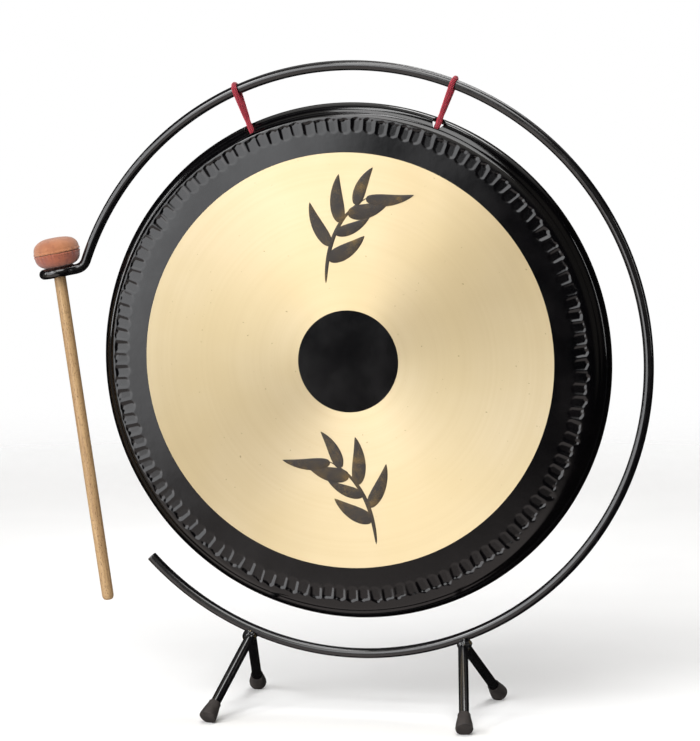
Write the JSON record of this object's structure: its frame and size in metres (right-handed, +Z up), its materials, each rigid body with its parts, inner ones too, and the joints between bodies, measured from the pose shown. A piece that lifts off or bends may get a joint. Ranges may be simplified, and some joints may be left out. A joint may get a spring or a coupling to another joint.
{
  "type": "tam tam gong",
  "caption": "Tam tam gong hung by cords in an open ring stand of bent rod on splayed rubber-tipped legs, with its mallet in a holder at the side.",
  "frame": {"origin": "on the floor, under the middle of the whole object's box (stand, gong and mallet)", "axes": "+Z up, +X to the right seen from the struck side, so the struck face looks along -Y and the mallet is at -X"},
  "size_m": [0.3782, 0.1127, 0.3912],
  "materials": {
    "black_paint": "gloss black stove enamel on steel rod",
    "foot_rubber": "matt dark grey moulded rubber",
    "gong_bronze": "lathe-turned bare bronze with black lacquered rim and centre",
    "hanger_cord": "red braided cord",
    "mallet_wood": "pale speckled hardwood, thin satin varnish",
    "mallet_leather": "tan orange suede leather, gathered at a middle seam"
  },
  "bodies": {
    "stand": {"ring_frame": "black_paint", "mallet_eye": "black_paint", "left_leg_weld": "black_paint", "right_leg_weld": "black_paint", "front_left_leg": "black_paint", "rear_left_leg": "black_paint", "front_right_leg": "black_paint", "rear_right_leg": "black_paint", "front_left_foot": "foot_rubber", "rear_left_foot": "foot_rubber", "front_right_foot": "foot_rubber", "rear_right_foot": "foot_rubber"},
    "hangers": {"left_hanger_cord": "hanger_cord", "right_hanger_cord": "hanger_cord"},
    "gong": {"gong_disc": "gong_bronze"},
    "mallet": {"mallet_stick": "mallet_wood", "mallet_head_core": "mallet_wood", "mallet_upper_cover": "mallet_leather", "mallet_lower_cover": "mallet_leather"}
  },
  "joints": [
    {"name": "hanger_swing", "type": "hinge", "parent": "stand", "child": "hangers", "pos_m": [0.00365, 0, 0.37542], "axis": [0.9993, 0, 0.0385], "range_deg": [-20, 20]},
    {"name": "gong_rock", "type": "hinge", "parent": "hangers", "child": "gong", "pos_m": [0.00339, 0, 0.35322], "axis": [0.9993, 0, 0.0385], "range_deg": [-8, 8]},
    {"name": "mallet_lift", "type": "slide", "parent": "stand", "child": "mallet", "axis": [-0.1426, 0, 0.9898], "range_m": [0, 0.235]}
  ]
}
